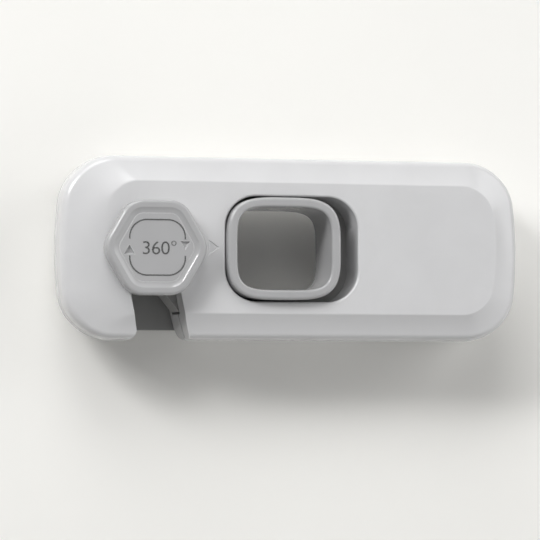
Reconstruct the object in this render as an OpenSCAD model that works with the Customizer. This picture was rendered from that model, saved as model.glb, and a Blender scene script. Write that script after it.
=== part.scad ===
// Swing-arm cabinet safety lock.
// A hollow arm turns on a base stuck to one door and hooks, by an arc-shaped notch, over the
// post of a strike stuck to the other door. A sprung latch bolt closes the notch under the post.
// Pulling the finger ring sideways draws the bolt back, and the arm then swings up off the post.
// Local frame of the modules: x along the arm, y up, z out of the door, middle of the arm at zero.
// The finished part has +Z up, its front towards -Y and its origin on the pivot axis at the door.

/* [Casing] */
// Length of the arm
case_l = 119; // [112:1:135]
// Height of the arm
case_h = 46; // [43:1:54]
// Depth of the arm, from its back to its front panel
case_d = 17.5; // [16.5:0.5:22]
// Depth of the back cover, up to the parting line
back_h = 9; // [8:0.5:10.5]
// How far the back cover draws in towards the door
back_round = 2.7; // [1.5:0.1:3.2]
// Corner radius of the arm's outline
case_corner_r = 11; // [9:0.5:14]
// How far the two ends swell past a straight line
end_bulge = 2.6; // [1:0.2:4]
// Wall thickness of both covers
wall_t = 2; // [1.6:0.1:2.4]
// Floor thickness of the back cover
floor_t = 1.8; // [1.5:0.1:2.2]

/* [Front panel] */
// Width of the bevel along the top, the bottom and the pivot end
bevel_w = 6.6; // [5.6:0.2:7.2]
// Width of the softer bevel at the strike end
left_bevel_w = 10.3; // [8:0.1:11.5]
// Drop of the bevel from the panel to the rounded edge
bevel_drop = 2.4; // [1.6:0.1:3.2]
// Radius of the rounded edge between the bevel and the side wall
edge_r = 2.4; // [1.6:0.1:3]
// Corner radius of the flat panel
panel_corner_r = 6.5; // [4.5:0.5:8.5]
// Length of the pointer pressed into the panel
pointer_l = 3; // [2:0.1:4]
// Height of the pointer
pointer_h = 4.2; // [3:0.1:5]

/* [Pull ring] */
// Outside width of the ring
ring_w = 28.7; // [26:0.1:30]
// Outside height of the ring
ring_h = 25.6; // [24:0.1:27]
// Wall of the ring
ring_wall = 2.25; // [1.8:0.05:2.8]
// Outside corner radius of the ring
ring_corner_r = 7.8; // [6:0.1:10]
// How far the ring stands out of the panel
ring_stand = 2.3; // [1:0.1:5]
// Place of the ring along the arm, left of the middle
ring_left = 3.45; // [3:0.05:4.4]
// Travel of the ring
ring_travel = 4.8; // [4:0.1:5.2]
// Clearance between the ring and its slot
ring_gap = 0.4; // [0.3:0.05:0.6]

/* [Latch] */
// Thickness of the carriage plate
carriage_t = 2.6; // [2:0.1:3]
// Depth of the bolt, along the post
bolt_d = 8.7; // [6:0.1:9.5]
// Height of the bolt's root
bolt_h = 9.2; // [7:0.1:10]
// Height of the upright land at the bolt's tip
bolt_land_h = 1.6; // [0.8:0.1:2.4]
// How far the bolt reaches into the notch
bolt_reach = 4.6; // [3:0.1:5.2]
// Outside diameter of the two return springs
spring_d = 4.6; // [4:0.1:5]
// Wire diameter of the springs
spring_wire = 0.6; // [0.4:0.05:0.8]
// Number of coils
spring_turns = 6; // [5:1:7]

/* [Pivot base] */
// Pivot axis, measured from the end of the ring's slot
pivot_from_slot = 21.9; // [21:0.05:25]
// Width of both door plates
plate_w = 36; // [32:0.5:37]
// Height of both door plates
plate_h = 39.4; // [34:0.2:40]
// Corner radius of both door plates
plate_corner_r = 6; // [3:0.5:9]
// Thickness of both door plates
plate_t = 2.4; // [2:0.1:3.5]
// Thickness of the sticky foam pads
pad_t = 1; // [0.6:0.1:1.6]
// Diameter of the pivot post
pivot_d = 9; // [8:0.1:9.5]
// Outside diameter of the pivot bush
bush_d = 11; // [10.6:0.1:12]

/* [Strike and knob] */
// Post axis, measured from the other end of the ring's slot
post_from_slot = 18.45; // [17.75:0.05:20]
// How far the post sits below the middle line of the arm
post_drop = 0.45; // [0:0.05:1.2]
// Diameter of the post's neck
post_d = 11.6; // [10:0.1:12]
// Clearance between the neck and the notch, all round
notch_gap = 0.4; // [0.3:0.05:0.6]
// Knob width across its flats
knob_af = 23.4; // [21.6:0.2:25]
// Knob corner radius
knob_corner_r = 6; // [4:0.5:8]
// Knob height
knob_h = 4.8; // [4.6:0.1:6]
// Width of the knob's raised rim
knob_rim_w = 1.85; // [1.6:0.05:2.8]
// Depth of the dish inside the rim
knob_dish_d = 0.5; // [0.3:0.1:1.4]
// Gap between the knob and the front panel
knob_gap = 0.5; // [0.3:0.1:1.5]

/* [Fasteners] */
// Shaft diameter of the casing screws and the knob screw
screw_d = 2.5; // [2:0.1:3]
// Shaft diameter of the pivot screw
pivot_screw_d = 3.4; // [3:0.1:4]
// Head diameter of the casing screws
screw_head_d = 4.8; // [4.2:0.1:5.2]

/* [Hidden] */
$fn = 64;

// Facet counts of the moulded shells and of the wide arcs
arc_fn = 360;
corner_steps = 12;
end_steps = 6;
edge_steps = 6;
cove_steps = 6;
back_steps = 8;
hex_steps = 8;
rim_steps = 6;

// Clearances: a flat slide, a flat turning face, a running pin, a pushed-in piece, loose room
overrun = 1;
slide_gap = 0.1;
turn_gap = 0.05;
run_gap = 0.05;
push_gap = 0.01;
loose_gap = 0.3;

// Heights above the door
friction_t = 0.55;
plate_top = pad_t + plate_t;
back_z = plate_top + friction_t + turn_gap;
floor_z = back_z + floor_t;
part_z = back_z + back_h;
front_z = back_z + case_d;
panel_under = front_z - wall_t;

// Places along the arm: the post and the pivot keep their distance from the ring's slot
half_l = case_l / 2;
half_h = case_h / 2;
ring_x = -ring_left;
slot_l = ring_w + ring_travel + 2 * ring_gap;
slot_h = ring_h + 2 * ring_gap;
slot_x = ring_x + ring_travel / 2;
slot_left = slot_x - slot_l / 2;
slot_right = slot_x + slot_l / 2;
post_x = slot_left - post_from_slot;
post_y = -post_drop;
pivot_x = slot_right + pivot_from_slot;

// Bevel: the rounded edge turns by edge_turn degrees, then a slight cove climbs to the panel
edge_turn = 70;
wall_draft = 0.2;
cove_share = 0.24;
edge_in = wall_draft + edge_r * (1 - cos(edge_turn));
edge_z = front_z - bevel_drop;
wall_top = edge_z - edge_r * sin(edge_turn);
left_extra = left_bevel_w - bevel_w;

// Pointer between the knob and the ring
pointer_gap = 1.45;
pointer_d = 0.3;

// Slot of the ring, with a skirt that reaches down to the carriage
rail_h = 1.5;
rail_t = 1.2;
skirt_t = 1.2;
carriage_z = floor_z + rail_h + slide_gap;
carriage_top = carriage_z + carriage_t;
skirt_z = carriage_top + loose_gap;
slot_r = ring_corner_r + ring_gap;
ring_top = front_z + ring_stand;
ring_round = 0.85;
ring_crest_in = 0.85;
ring_inner_round = 0.85;
ring_inner_r = ring_corner_r - ring_wall;
spigot_in = 0.7;

// Notch: an arc about the pivot that ends round the post
swing_r = norm([pivot_x - post_x, post_y]);
notch_w = post_d + 2 * notch_gap;
notch_wall = 1.6;
mouth_r = 2.4;
mouth_lip_r = 1;

// Bolt and carriage
bolt_z = floor_z + slide_gap;
bolt_top_y = post_y - post_d / 2 - loose_gap;
bolt_low_y = bolt_top_y - bolt_h;
notch_edge_x = pivot_x - sqrt(pow(swing_r - notch_w / 2, 2) - pow(bolt_top_y, 2));
bolt_tip_x = notch_edge_x - bolt_reach;
bolt_root_x = pivot_x - sqrt(pow(swing_r - notch_w / 2, 2) - pow(bolt_low_y, 2));
bolt_end_x = slot_left - skirt_t - ring_travel - loose_gap;
carriage_rim = 1.5;
carriage_h = ring_h + 2 * carriage_rim;
bolt_lap = 0.5;
carriage_left = bolt_end_x - bolt_lap;
carriage_right = slot_right + ring_travel + skirt_t;
carriage_corner_r = 3;
guide_x = bolt_end_x + ring_travel + loose_gap;
guide_y = carriage_h / 2 + loose_gap;
guide_l = 7;
guide_h = rail_h + carriage_t;
// Pivot: the post stands a little above the collar, so the washer keeps the arm without pinching it
collar_h = 4.4;
collar_d = bush_d + 2 * wall_t;
pivot_top = back_z + collar_h + loose_gap;
friction_d = 18;
pivot_washer_d = 16;
pivot_washer_t = 1;
pivot_head_d = 7;
pivot_head_h = 2.2;
pivot_screw_l = 6;
pad_in = 1;

// Return springs beside the pivot, between the carriage's end and two ribs of the back cover
spring_gap = 0.4;
spring_y = pivot_washer_d / 2 + spring_gap + spring_d / 2;
spring_z = carriage_z + carriage_t / 2;
spring_l = 14;
rib_t = 2;
rib_x = carriage_right + spring_l;
rib_top = spring_z + spring_d / 2;
spigot_d = spring_d - 2 * spring_wire - 2 * loose_gap;
spigot_l = 3;
coil_rings = 8;
wire_sides = 6;
coil_r = (spring_d - spring_wire) / 2;
coil_l = spring_l - spring_wire;
coil_count = spring_turns * coil_rings;

// Casing screws, one near each corner; those at the strike end stand midway from the notch to the end
screw_end = 8;
screw_side = 10;
screw_y = half_h - screw_side;
screw_right_x = half_l - screw_end;
notch_far_x = pivot_x - sqrt(pow(swing_r + notch_w / 2, 2) - pow(screw_y, 2));
screw_left_x = (notch_far_x - half_l) / 2;
screw_head_h = 1.6;
screw_sink = 0.4;
screw_seat = back_z + screw_sink + screw_head_h;
screw_bite = 4;
screw_l = part_z + screw_bite - screw_seat;
screw_post_d = screw_head_d + 2 * loose_gap + wall_t;

// Knob on the post
knob_z = front_z + knob_gap;
knob_top = knob_z + knob_h;
knob_slope_w = 1.4;
knob_round = 0.85;
knob_foot = 0.6;
face_t = 0.8;
face_z = knob_top - knob_dish_d - face_t;
face_in = knob_rim_w + knob_slope_w;
spindle_d = 5;
knob_washer_d = 9;
knob_washer_t = 0.4;
knob_head_d = 5.2;
knob_head_h = 1;
spindle_top = face_z - slide_gap - knob_head_h - knob_washer_t;
web_top = spindle_top - turn_gap;
knob_screw_l = 9;

// Cross recess of the screw heads, as shares of the head
recess_length_share = 0.6;
recess_width_share = 0.16;
recess_depth_share = 0.55;
screw_core_share = 0.9;

// Puts a module from the local frame into the part's frame
module place() {
  rotate([90, 0, 0])
    translate([-pivot_x, 0, 0])
      children();
}

// Quarter arc of an outline, starting at an angle
function quarter(cx, cy, r, from) =
  [for (k = [0 : corner_steps]) let (a = from + 90 * k / corner_steps) [cx + r * cos(a), cy + r * sin(a)]];

// Points along a straight end, between its two corners
function end_points(x, from, to) =
  [for (k = [1 : end_steps - 1]) [x, from + (to - from) * k / end_steps]];

// Swells an outline at its two ends
function swollen(p, h) = [p.x * (1 + end_bulge / (half_l - end_bulge) * (1 - pow(p.y / h, 2))), p.y];

// Outline of the arm, drawn in by an inset; stretch 1 widens the strike end's bevel
function case_outline(inset, stretch) =
  let (
    h = half_h - inset,
    r = case_corner_r - (case_corner_r - panel_corner_r) * inset / bevel_w,
    right = half_l - end_bulge - inset,
    extra = stretch * left_extra * max(0, inset - edge_in) / (bevel_w - edge_in),
    left = half_l - end_bulge - inset - extra,
    points = concat(
      quarter(right - r, h - r, r, 0),
      quarter(r - left, h - r, r, 90),
      end_points(-left, h - r, r - h),
      quarter(r - left, r - h, r, 180),
      quarter(right - r, r - h, r, 270),
      end_points(right, r - h, h - r)))
  [for (p = points) swollen(p, h)];

// Rounded rectangle as points
function soft_points(w, h, r) =
  concat(
    quarter(w / 2 - r, h / 2 - r, r, 0),
    quarter(r - w / 2, h / 2 - r, r, 90),
    quarter(r - w / 2, r - h / 2, r, 180),
    quarter(w / 2 - r, r - h / 2, r, 270));

// Hexagon with round corners as points, flats at the top and the bottom
function hex_points(af, r) =
  let (reach = (af / 2 - r) / cos(30))
  [for (c = [0 : 5], k = [0 : hex_steps]) let (a = 60 * c - 30 + 60 * k / hex_steps)
    [reach * cos(60 * c) + r * cos(a), reach * sin(60 * c) + r * sin(a)]];

function at_z(outline, z) = [for (p = outline) [p.x, p.y, z]];

// Closed solid through a list of rings with equal numbers of points
module loft(rings) {
  n = len(rings[0]);
  last = len(rings) - 1;
  bottom = [for (i = [0 : n - 1]) i];
  top = [for (i = [0 : n - 1]) last * n + n - 1 - i];
  sides = [for (k = [0 : last - 1], i = [0 : n - 1])
    let (a = k * n + i, b = k * n + (i + 1) % n)
      each [[a, a + n, b + n], [a, b + n, b]]];
  polyhedron(points = [for (r = rings) each r], faces = concat([bottom, top], sides));
}

// Rounded rectangle with true arcs
module soft_rect(w, h, r) {
  square([w - 2 * r, h], center = true);
  square([w, h - 2 * r], center = true);
  for (sx = [-1, 1], sy = [-1, 1])
    translate([sx * (w / 2 - r), sy * (h / 2 - r)])
      circle(r);
}

module soft_plate(w, h, r, t) {
  linear_extrude(t)
    soft_rect(w, h, r);
}

// Cylinder from one height to another
module column(d, low, high) {
  translate([0, 0, low])
    cylinder(d = d, h = high - low);
}

module washer(d, hole_d, t) {
  difference() {
    cylinder(d = d, h = t);
    column(hole_d, -overrun, t + overrun);
  }
}

// Screw with its seat at zero, its shaft going up and a cross recess in its head
module screw(d, length, head_d, head_h) {
  difference() {
    union() {
      cylinder(d = d, h = length);
      column(head_d, -head_h, 0);
    }
    for (turn = [0, 90])
      rotate(turn)
        translate([0, 0, -head_h])
          cube([head_d * recess_length_share, head_d * recess_width_share,
            2 * head_h * recess_depth_share], center = true);
  }
}

module at_case_screws() {
  for (x = [screw_left_x, screw_right_x], side = [-1, 1])
    translate([x, side * screw_y, 0])
      children();
}

module at_post() {
  translate([post_x, post_y, 0])
    children();
}

module at_pivot() {
  translate([pivot_x, 0, 0])
    children();
}

// Band of the notch: round at the post, then an arc about the pivot out through the bottom edge
module notch_outline(grow) {
  half = notch_w / 2 + grow;
  at_post() circle(half);
  intersection() {
    difference() {
      at_pivot() circle(swing_r + half, $fn = arc_fn);
      at_pivot() circle(swing_r - half, $fn = arc_fn);
    }
    translate([-half_l, -half_h - overrun])
      square([half_l, half_h + overrun + post_y]);
  }
}

// Rounds one lip of the notch's mouth, tangent to its arc; side 1 is the lip towards the pivot
module mouth_lip(side, r) {
  arc_r = swing_r - side * notch_w / 2;
  away = arc_r - side * r;
  middle = [pivot_x - sqrt(pow(away, 2) - pow(half_h - r, 2)), r - half_h];
  touch = [pivot_x, 0] + (middle - [pivot_x, 0]) * arc_r / away;
  corner_x = pivot_x - sqrt(pow(arc_r, 2) - pow(half_h, 2));
  clear_x = side > 0 ? touch.x - overrun : corner_x + overrun;
  difference() {
    polygon([
      middle,
      touch,
      [clear_x, touch.y],
      [clear_x, -half_h - overrun],
      [middle.x, -half_h - overrun]]);
    translate(middle)
      circle(r);
  }
}

module notch_cut(low, high) {
  translate([0, 0, low])
    linear_extrude(high - low) {
      notch_outline(0);
      mouth_lip(-1, mouth_r);
      mouth_lip(1, mouth_lip_r);
    }
}

module notch_band(low, high) {
  translate([0, 0, low])
    linear_extrude(high - low)
      notch_outline(notch_wall);
}

// Window in the notch's wall that the bolt comes through
module bolt_window() {
  translate([post_x, bolt_low_y - loose_gap, floor_z])
    cube([bolt_end_x - post_x, bolt_h + 2 * loose_gap, bolt_d + slide_gap + 2 * loose_gap]);
}

// Outside of the front cover, from the parting line up
module front_form() {
  edge = [for (k = [0 : edge_steps]) let (a = edge_turn * k / edge_steps)
    [wall_draft + edge_r * (1 - cos(a)), wall_top + edge_r * sin(a)]];
  cove = [for (k = [1 : cove_steps]) let (s = k / cove_steps)
    [edge_in + (bevel_w - edge_in) * s, edge_z + bevel_drop * ((1 - cove_share) * s + cove_share * s * s)]];
  loft([for (p = concat([[0, part_z]], edge, cove)) at_z(case_outline(p[0], 1), p[1])]);
}

// Slot of the ring, grown all round, from one height to another
module slot_prism(grow, low, high) {
  translate([slot_x, 0, low])
    soft_plate(slot_l + 2 * grow, slot_h + 2 * grow, slot_r + grow, high - low);
}

// Hollow of the front cover
module front_hollow() {
  levels = [[wall_t, part_z - overrun], [wall_t + wall_draft, wall_top - wall_t / 2], [bevel_w, panel_under]];
  loft([for (p = levels) at_z(case_outline(p[0], 1), p[1])]);
}

// Pointer towards the ring, pressed into the panel
module pointer_recess() {
  translate([slot_left - pointer_gap, 0, front_z - pointer_d])
    linear_extrude(pointer_d + overrun)
      polygon([[0, 0], [-pointer_l, pointer_h / 2], [-pointer_l, -pointer_h / 2]]);
}

module front_cover() {
  color("white") place()
    difference() {
      union() {
        difference() {
          front_form();
          difference() {
            front_hollow();
            notch_band(part_z - 2 * overrun, front_z);
            at_case_screws() column(screw_post_d, part_z - 2 * overrun, front_z);
          }
        }
        slot_prism(skirt_t, skirt_z, panel_under + wall_t / 2);
      }
      slot_prism(0, skirt_z - overrun, front_z + overrun);
      notch_cut(part_z - overrun, front_z + overrun);
      pointer_recess();
      bolt_window();
      at_case_screws() column(screw_d + 2 * push_gap, part_z - overrun, part_z + screw_bite + loose_gap);
    }
}

// Outside of the back cover: a quarter ellipse from the door side up to the parting line
module back_form() {
  loft([for (k = [0 : back_steps]) let (a = 90 * k / back_steps)
    at_z(case_outline(back_round * (1 - sin(a)), 0), back_z + back_h * (1 - cos(a)))]);
}

module back_hollow() {
  depth = part_z - floor_z;
  levels = [for (k = [0 : back_steps]) let (a = 90 * k / back_steps)
    [wall_t + back_round * (1 - sin(a)), floor_z + depth * (1 - cos(a))]];
  loft([for (p = concat(levels, [[wall_t, part_z + overrun]])) at_z(case_outline(p[0], 0), p[1])]);
}

// What stands inside the back cover: notch wall, screw posts, pivot collar, rails, guides, spring ribs
module back_ribs() {
  low = back_z;
  notch_band(low, part_z + 2 * overrun);
  at_case_screws() column(screw_post_d, low, part_z + 2 * overrun);
  at_pivot() column(collar_d, low, back_z + collar_h);
  for (side = [-1, 1]) {
    translate([guide_x, side * (carriage_h / 2 - rail_t) - rail_t / 2, low])
      cube([carriage_right - guide_x, rail_t, floor_z + rail_h - low]);
    for (x = [guide_x, carriage_right - guide_l])
      translate([x, side * (guide_y + rail_t / 2) - rail_t / 2, low])
        cube([guide_l, rail_t, floor_z + guide_h - low]);
    translate([rib_x, side * spring_y - spring_d / 2, low])
      cube([rib_t, spring_d, rib_top - low]);
  }
}

module back_cover() {
  color("whitesmoke") place()
    difference() {
      back_form();
      difference() {
        back_hollow();
        back_ribs();
      }
      translate([slot_x, 0, back_z - overrun])
        soft_plate(ring_w + ring_travel - 2 * ring_wall + 2 * ring_gap, ring_h - 2 * ring_wall + 2 * ring_gap,
          ring_inner_r + ring_gap, floor_t + 2 * overrun);
      notch_cut(back_z - overrun, part_z + overrun);
      bolt_window();
      at_pivot() column(bush_d + 2 * push_gap, back_z - overrun, back_z + collar_h + overrun);
      at_case_screws() {
        column(screw_head_d + 2 * loose_gap, back_z - overrun, screw_seat);
        column(screw_d + 2 * run_gap + loose_gap, back_z, part_z + overrun);
      }
    }
}

module case_screws() {
  color("silver") place()
    at_case_screws()
      translate([0, 0, screw_seat])
        screw(screw_d, screw_l, screw_head_d, screw_head_h);
}

// Solid with the ring's outline, through levels of inset and height
module ring_loft(levels) {
  loft([for (p = levels)
    at_z(soft_points(ring_w - 2 * p[0], ring_h - 2 * p[0], ring_corner_r - p[0]), p[1])]);
}

// Pull ring: a rounded tube with a soft rim and a spigot that pushes into the carriage
module finger_ring() {
  outer = concat([[0, carriage_top]], [for (k = [0 : rim_steps]) let (a = 90 * k / rim_steps)
    [ring_crest_in * (1 - cos(a)), ring_top - ring_round * (1 - sin(a))]]);
  inner = concat([[ring_wall, carriage_z - overrun]], [for (k = [0 : rim_steps]) let (a = 90 * k / rim_steps)
    [ring_wall - ring_inner_round * (1 - cos(a)), ring_top - ring_inner_round * (1 - sin(a))]],
    [[ring_wall - ring_inner_round, ring_top + overrun]]);
  color("darkgray") place()
    translate([ring_x, 0, 0])
      difference() {
        union() {
          ring_loft(outer);
          translate([0, 0, carriage_z])
            soft_plate(ring_w - 2 * spigot_in, ring_h - 2 * spigot_in, ring_corner_r - spigot_in,
              carriage_t + loose_gap);
        }
        ring_loft(inner);
      }
}

// Carriage: a plate under the slot with the latch bolt at one end and two spigots for the springs
module latch_carriage() {
  color("gray") place()
    difference() {
      union() {
        translate([(carriage_left + carriage_right) / 2, 0, carriage_z])
          soft_plate(carriage_right - carriage_left, carriage_h, carriage_corner_r, carriage_t);
        translate([0, 0, bolt_z])
          linear_extrude(bolt_d)
            polygon([
              [bolt_tip_x, bolt_top_y],
              [bolt_end_x, bolt_top_y],
              [bolt_end_x, bolt_low_y],
              [bolt_root_x, bolt_low_y],
              [bolt_tip_x, bolt_top_y - bolt_land_h]]);
        for (side = [-1, 1])
          translate([carriage_right - spigot_l, side * spring_y, spring_z])
            rotate([0, 90, 0])
              cylinder(d = spigot_d, h = 2 * spigot_l);
      }
      translate([ring_x, 0, carriage_z - overrun])
        soft_plate(ring_w - 2 * spigot_in + 2 * push_gap, ring_h - 2 * spigot_in + 2 * push_gap,
          ring_corner_r - spigot_in + push_gap, carriage_t + 2 * overrun);
    }
}

// Middle of the wire at ring k of a spring that lies along x
function coil_angle(k) = 360 * k / coil_rings;
function coil_middle(k) =
  [spring_wire / 2 + coil_l * k / coil_count, coil_r * cos(coil_angle(k)), coil_r * sin(coil_angle(k))];

// Ring of points round the wire
function coil_ring(k) =
  let (
    a = coil_angle(k),
    out = [0, cos(a), sin(a)],
    run = [coil_l / spring_turns, -sin(a) * coil_r * 2 * PI, cos(a) * coil_r * 2 * PI],
    side = cross(run / norm(run), out))
  [for (s = [0 : wire_sides - 1]) let (b = -360 * s / wire_sides)
    coil_middle(k) + spring_wire / 2 * (cos(b) * out + sin(b) * side)];

coil_gap = min([for (i = [0 : coil_count - coil_rings]) norm(coil_middle(i + coil_rings) - coil_middle(i))])
  - spring_wire;
echo(least_gap_between_coils = coil_gap);

module return_spring(side) {
  color("lightsteelblue") place()
    translate([carriage_right, side * spring_y, spring_z])
      loft([for (k = [0 : coil_count]) coil_ring(k)]);
}

module upper_spring() {
  return_spring(1);
}

module lower_spring() {
  return_spring(-1);
}

module pivot_bush() {
  color("ivory") place()
    at_pivot() translate([0, 0, back_z])
      washer(bush_d, pivot_d + 2 * run_gap, collar_h);
}

// Door plate of the pivot, with the post that the arm turns on
module base_plate() {
  color("lightgray") place()
    at_pivot() difference() {
      union() {
        translate([0, 0, pad_t])
          soft_plate(plate_w, plate_h, plate_corner_r, plate_t);
        column(pivot_d, pad_t, pivot_top);
      }
      column(pivot_screw_d + 2 * push_gap, pivot_top - pivot_screw_l - loose_gap, pivot_top + overrun);
    }
}

module door_pad() {
  soft_plate(plate_w - 2 * pad_in, plate_h - 2 * pad_in, plate_corner_r - pad_in, pad_t);
}

module base_pad() {
  color("dimgray") place()
    at_pivot() door_pad();
}

module friction_washer() {
  color("ivory") place()
    at_pivot() translate([0, 0, plate_top])
      washer(friction_d, pivot_d + 2 * run_gap, friction_t);
}

module pivot_washer() {
  color("silver") place()
    at_pivot() translate([0, 0, pivot_top])
      washer(pivot_washer_d, pivot_screw_d + 2 * run_gap, pivot_washer_t);
}

module pivot_screw() {
  color("silver") place()
    at_pivot() translate([0, 0, pivot_top + pivot_washer_t])
      rotate([180, 0, 0])
        screw(pivot_screw_d, pivot_screw_l + pivot_washer_t, pivot_head_d, pivot_head_h);
}

// Door plate of the strike, with the neck that the notch hooks over and the knob's spindle
module strike_plate() {
  color("gray") place()
    at_post() difference() {
      union() {
        translate([0, 0, pad_t])
          soft_plate(plate_w, plate_h, plate_corner_r, plate_t);
        column(post_d, pad_t, knob_z - turn_gap);
        column(spindle_d, pad_t, spindle_top);
      }
      column(screw_d + 2 * push_gap, spindle_top - knob_screw_l - loose_gap, spindle_top + overrun);
    }
}

module strike_pad() {
  color("dimgray") place()
    at_post() door_pad();
}

// Knob: a rounded hexagon with a raised rim round a shallow dish
module hex_knob() {
  rim = [for (k = [0 : rim_steps]) let (a = 90 * k / rim_steps)
    [knob_round * (1 - cos(a)), knob_top - knob_round * (1 - sin(a))]];
  dish = [[knob_rim_w, knob_top], [face_in, knob_top - knob_dish_d], [face_in, face_z]];
  color("darkgray") place()
    at_post() difference() {
      loft([for (p = concat([[knob_foot, knob_z], [0, knob_z + knob_foot]], rim, dish))
        at_z(hex_points(knob_af - 2 * p[0], knob_corner_r - p[0]), p[1])]);
      column(spindle_d + 2 * run_gap, knob_z - overrun, knob_top);
      column(knob_washer_d + 2 * loose_gap, web_top, knob_top);
    }
}

// Flat cap that closes the knob's dish
module knob_face() {
  color("darkgray") place()
    at_post() translate([0, 0, face_z])
      linear_extrude(face_t)
        polygon(hex_points(knob_af - 2 * face_in - 2 * push_gap, knob_corner_r - face_in - push_gap));
}

module knob_washer() {
  color("silver") place()
    at_post() translate([0, 0, spindle_top])
      washer(knob_washer_d, screw_d + 2 * run_gap, knob_washer_t);
}

module knob_screw() {
  color("silver") place()
    at_post() translate([0, 0, spindle_top + knob_washer_t])
      rotate([180, 0, 0])
        screw(screw_d, knob_screw_l + knob_washer_t, knob_head_d, knob_head_h);
}

front_cover();
back_cover();
case_screws();
finger_ring();
latch_carriage();
upper_spring();
lower_spring();
pivot_bush();
base_plate();
base_pad();
friction_washer();
pivot_washer();
pivot_screw();
strike_plate();
strike_pad();
hex_knob();
knob_face();
knob_washer();
knob_screw();
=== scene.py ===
# %% [markdown]
# # A cabinet safety lock, dressed in Blender
# The lock is a hollow arm, moulded in two halves, that swings on a stuck-on base and hooks over the
# post of a stuck-on strike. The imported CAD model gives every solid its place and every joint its
# motion. This lesson keeps that frame and adds what the eye looks for: soft moulded edges, marks,
# grain and light. Loading the frame comes first, so that each new piece can be set in the same
# place as the solid it stands for.

import math

import bmesh
import bpy
from mathutils import Matrix, Vector
from mathutils.bvhtree import BVHTree


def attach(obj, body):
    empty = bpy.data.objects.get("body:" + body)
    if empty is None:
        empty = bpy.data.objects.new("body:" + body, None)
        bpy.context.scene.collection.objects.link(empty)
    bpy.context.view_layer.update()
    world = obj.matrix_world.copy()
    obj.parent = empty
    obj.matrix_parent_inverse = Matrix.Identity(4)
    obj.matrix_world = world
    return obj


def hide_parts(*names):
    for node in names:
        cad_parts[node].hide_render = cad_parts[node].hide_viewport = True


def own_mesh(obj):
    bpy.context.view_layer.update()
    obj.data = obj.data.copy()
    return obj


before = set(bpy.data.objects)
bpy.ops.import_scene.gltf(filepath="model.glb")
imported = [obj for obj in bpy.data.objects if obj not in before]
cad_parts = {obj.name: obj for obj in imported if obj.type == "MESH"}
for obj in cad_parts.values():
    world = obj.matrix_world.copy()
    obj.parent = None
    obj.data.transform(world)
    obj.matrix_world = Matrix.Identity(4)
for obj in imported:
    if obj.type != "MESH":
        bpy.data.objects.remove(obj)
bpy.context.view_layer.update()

# %% [markdown]
# The arm is easiest to draw in its own flat frame, in millimetres: x along the arm, y up and z
# outwards from the surface that the lock is stuck on, with zero at the middle of the arm. One
# function carries such a point into the model's frame. Keeping a single conversion means that no
# later step has to think about axes.

# %% From the arm's millimetres to the model's metres
MM = 0.001
PIVOT_X = 38.0
pivot = Vector((PIVOT_X, 0.0))
post = Vector((-36.65, -0.45))


def to_frame(point):
    x, y, z = point
    return Vector(((x - PIVOT_X) * MM, -z * MM, y * MM))


print("post of the strike:", to_frame((post.x, post.y, 0)))

# %% [markdown]
# Almost every moulded piece here is a stack of outlines: the same closed line, drawn in a little
# further at each height. Joining neighbouring outlines with quads gives a clean skin that shades
# smoothly, which a cube with bevels would not. A stack either gets a lid at both ends, or runs
# round to its own start, as a tube does.

# %% Solids from stacked outlines
def stack(name, rings, tube=False):
    n, count = len(rings[0]), len(rings)
    faces = []
    for k in range(count if tube else count - 1):
        low, high = k * n, (k + 1) % count * n
        faces += [(low + i, low + (i + 1) % n, high + (i + 1) % n, high + i) for i in range(n)]
    if not tube:
        faces += [tuple(range(n)), tuple(range((count - 1) * n, count * n))]
    mesh = bpy.data.meshes.new(name)
    mesh.from_pydata([to_frame(p) for ring in rings for p in ring], [], faces)
    shape = bmesh.new()
    shape.from_mesh(mesh)
    bmesh.ops.recalc_face_normals(shape, faces=shape.faces)
    shape.to_mesh(mesh)
    shape.free()
    piece = bpy.data.objects.new(name, mesh)
    bpy.context.scene.collection.objects.link(piece)
    return piece


def at_height(outline, z):
    return [(x, y, z) for x, y in outline]


def prism(name, outline, low, high):
    return stack(name, [at_height(outline, low), at_height(outline, high)])


print("stacks are joined ring by ring, with a lid at each end or none")

# %% [markdown]
# Holes, slots and ribs are cut and joined with booleans, in the order a mould maker would think of
# them. The result is stored in the mesh at once and the tool is thrown away, so the finished piece
# carries no hidden helpers. Weighted normals then keep the flat panel flat and the fillets round.

# %% Cutting, joining and smoothing
def cut(piece, tool, how="DIFFERENCE"):
    step = piece.modifiers.new("step", "BOOLEAN")
    step.operation, step.solver, step.object = how, "EXACT", tool
    graph = bpy.context.evaluated_depsgraph_get()
    shaped = bpy.data.meshes.new_from_object(piece.evaluated_get(graph))
    piece.modifiers.remove(step)
    piece.data = shaped
    bpy.data.objects.remove(tool)


def smooth(piece, sharp_degrees=38):
    piece.data.shade_smooth()
    piece.data.set_sharp_from_angle(angle=math.radians(sharp_degrees))
    normals = piece.modifiers.new("weighted normals", "WEIGHTED_NORMAL")
    normals.keep_sharp = True
    print(piece.name, "faces:", len(piece.data.polygons))


print("pieces are cut with exact booleans, and smoothed last")

# %% [markdown]
# The outlines themselves: a rounded rectangle for slots and pads, a squircle for the ring, a rounded
# hexagon for the knob and a plain circle. A squircle is a rectangle whose sides bow and melt into
# its corners. Cosine and sine, each raised to two over its power, draw it: power two is an ellipse,
# and a higher one squares it up. The others are drawn from arcs. Many points on the round stretches
# are what makes a highlight run evenly round a corner.

# %% Rounded rectangle, squircle, rounded hexagon, circle
def arc(cx, cy, r, start, stop, steps):
    angles = [math.radians(start + (stop - start) * k / steps) for k in range(steps + 1)]
    return [(cx + r * math.cos(a), cy + r * math.sin(a)) for a in angles]


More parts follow.
